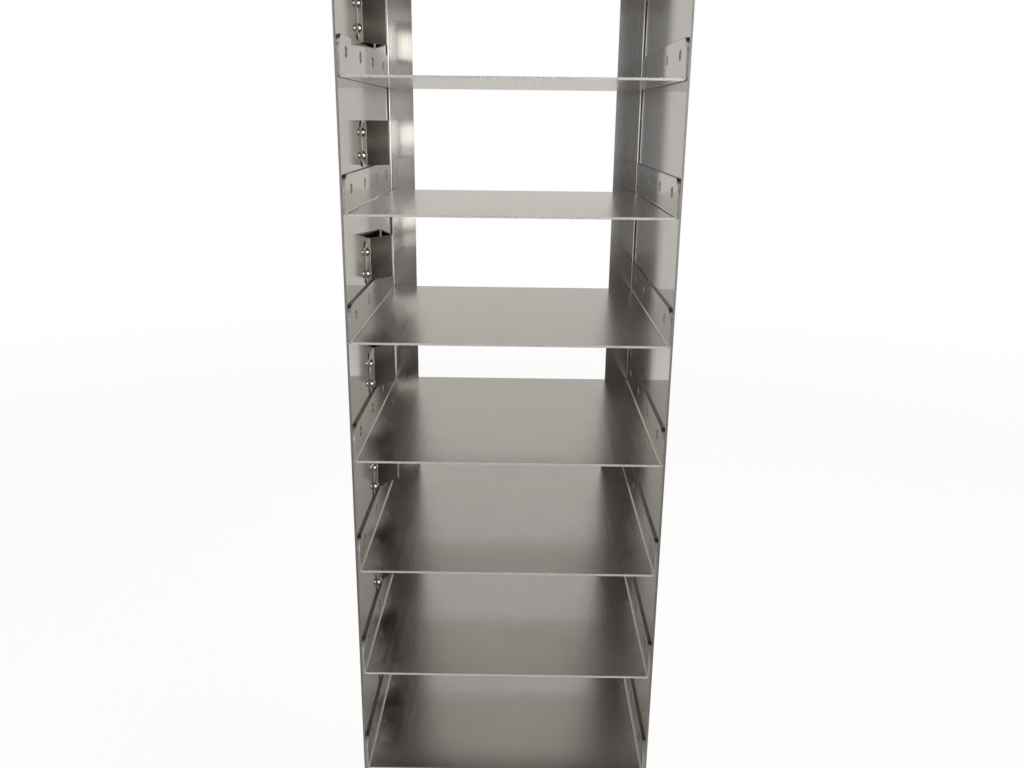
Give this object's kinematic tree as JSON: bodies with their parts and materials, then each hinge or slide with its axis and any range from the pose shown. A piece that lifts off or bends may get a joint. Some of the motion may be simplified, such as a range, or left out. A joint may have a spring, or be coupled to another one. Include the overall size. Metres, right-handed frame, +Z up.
{
  "type": "freezer storage rack",
  "caption": "Tall stainless rack for a chest freezer: open-fronted bays for cryoboxes, a spring clip in the wall of each bay, and a folding bail on top.",
  "frame": {"origin": "centre of the bottom, on the surface that the rack stands on", "axes": "+Z up, the open front faces -Y, +X to the right seen from the front; the spring clips are on the left wall"},
  "size_m": [0.1435, 0.142, 0.6854],
  "materials": {
    "panel_sheet": "bright cold-rolled stainless sheet with a faint vertical grain",
    "tray_sheet": "bright cold-rolled stainless sheet with a faint grain from front to back",
    "spring_strip": "hard-rolled stainless spring strip, bright",
    "rivet": "polished stainless rivet",
    "bail_rod": "drawn stainless rod, satin",
    "bracket_plate": "cold-rolled stainless plate, satin"
  },
  "bodies": {
    "rack": {"left_side_panel": "panel_sheet", "right_side_panel": "panel_sheet", "base_tray": "tray_sheet", "shelf_tray_1": "tray_sheet", "shelf_tray_2": "tray_sheet", "shelf_tray_3": "tray_sheet", "shelf_tray_4": "tray_sheet", "shelf_tray_5": "tray_sheet", "shelf_tray_6": "tray_sheet", "shelf_tray_7": "tray_sheet", "shelf_tray_8": "tray_sheet", "shelf_tray_9": "tray_sheet", "shelf_tray_10": "tray_sheet", "shelf_tray_11": "tray_sheet", "top_tray": "tray_sheet", "clip_rivets": "rivet", "left_bracket": "bracket_plate", "right_bracket": "bracket_plate", "bracket_rivets": "rivet"},
    "bail": {"bail_handle": "bail_rod"},
    "clip_1": {"spring_clip_1": "spring_strip"},
    "clip_2": {"spring_clip_2": "spring_strip"},
    "clip_3": {"spring_clip_3": "spring_strip"},
    "clip_4": {"spring_clip_4": "spring_strip"},
    "clip_5": {"spring_clip_5": "spring_strip"},
    "clip_6": {"spring_clip_6": "spring_strip"},
    "clip_7": {"spring_clip_7": "spring_strip"},
    "clip_8": {"spring_clip_8": "spring_strip"},
    "clip_9": {"spring_clip_9": "spring_strip"},
    "clip_10": {"spring_clip_10": "spring_strip"},
    "clip_11": {"spring_clip_11": "spring_strip"},
    "clip_12": {"spring_clip_12": "spring_strip"}
  },
  "joints": [
    {"name": "bail_fold", "type": "hinge", "parent": "rack", "child": "bail", "pos_m": [0, 0, 0.6774], "axis": [1, 0, 0], "range_deg": [0, 189.3]},
    {"name": "clip_1_press", "type": "slide", "parent": "rack", "child": "clip_1", "axis": [-1, 0, 0], "range_m": [0, 0.004], "stiffness_N_per_m": 3000, "deforming": ["spring_clip_1"]},
    {"name": "clip_2_press", "type": "slide", "parent": "rack", "child": "clip_2", "axis": [-1, 0, 0], "range_m": [0, 0.004], "stiffness_N_per_m": 3000, "deforming": ["spring_clip_2"]},
    {"name": "clip_3_press", "type": "slide", "parent": "rack", "child": "clip_3", "axis": [-1, 0, 0], "range_m": [0, 0.004], "stiffness_N_per_m": 3000, "deforming": ["spring_clip_3"]},
    {"name": "clip_4_press", "type": "slide", "parent": "rack", "child": "clip_4", "axis": [-1, 0, 0], "range_m": [0, 0.004], "stiffness_N_per_m": 3000, "deforming": ["spring_clip_4"]},
    {"name": "clip_5_press", "type": "slide", "parent": "rack", "child": "clip_5", "axis": [-1, 0, 0], "range_m": [0, 0.004], "stiffness_N_per_m": 3000, "deforming": ["spring_clip_5"]},
    {"name": "clip_6_press", "type": "slide", "parent": "rack", "child": "clip_6", "axis": [-1, 0, 0], "range_m": [0, 0.004], "stiffness_N_per_m": 3000, "deforming": ["spring_clip_6"]},
    {"name": "clip_7_press", "type": "slide", "parent": "rack", "child": "clip_7", "axis": [-1, 0, 0], "range_m": [0, 0.004], "stiffness_N_per_m": 3000, "deforming": ["spring_clip_7"]},
    {"name": "clip_8_press", "type": "slide", "parent": "rack", "child": "clip_8", "axis": [-1, 0, 0], "range_m": [0, 0.004], "stiffness_N_per_m": 3000, "deforming": ["spring_clip_8"]},
    {"name": "clip_9_press", "type": "slide", "parent": "rack", "child": "clip_9", "axis": [-1, 0, 0], "range_m": [0, 0.004], "stiffness_N_per_m": 3000, "deforming": ["spring_clip_9"]},
    {"name": "clip_10_press", "type": "slide", "parent": "rack", "child": "clip_10", "axis": [-1, 0, 0], "range_m": [0, 0.004], "stiffness_N_per_m": 3000, "deforming": ["spring_clip_10"]},
    {"name": "clip_11_press", "type": "slide", "parent": "rack", "child": "clip_11", "axis": [-1, 0, 0], "range_m": [0, 0.004], "stiffness_N_per_m": 3000, "deforming": ["spring_clip_11"]},
    {"name": "clip_12_press", "type": "slide", "parent": "rack", "child": "clip_12", "axis": [-1, 0, 0], "range_m": [0, 0.004], "stiffness_N_per_m": 3000, "deforming": ["spring_clip_12"]}
  ]
}
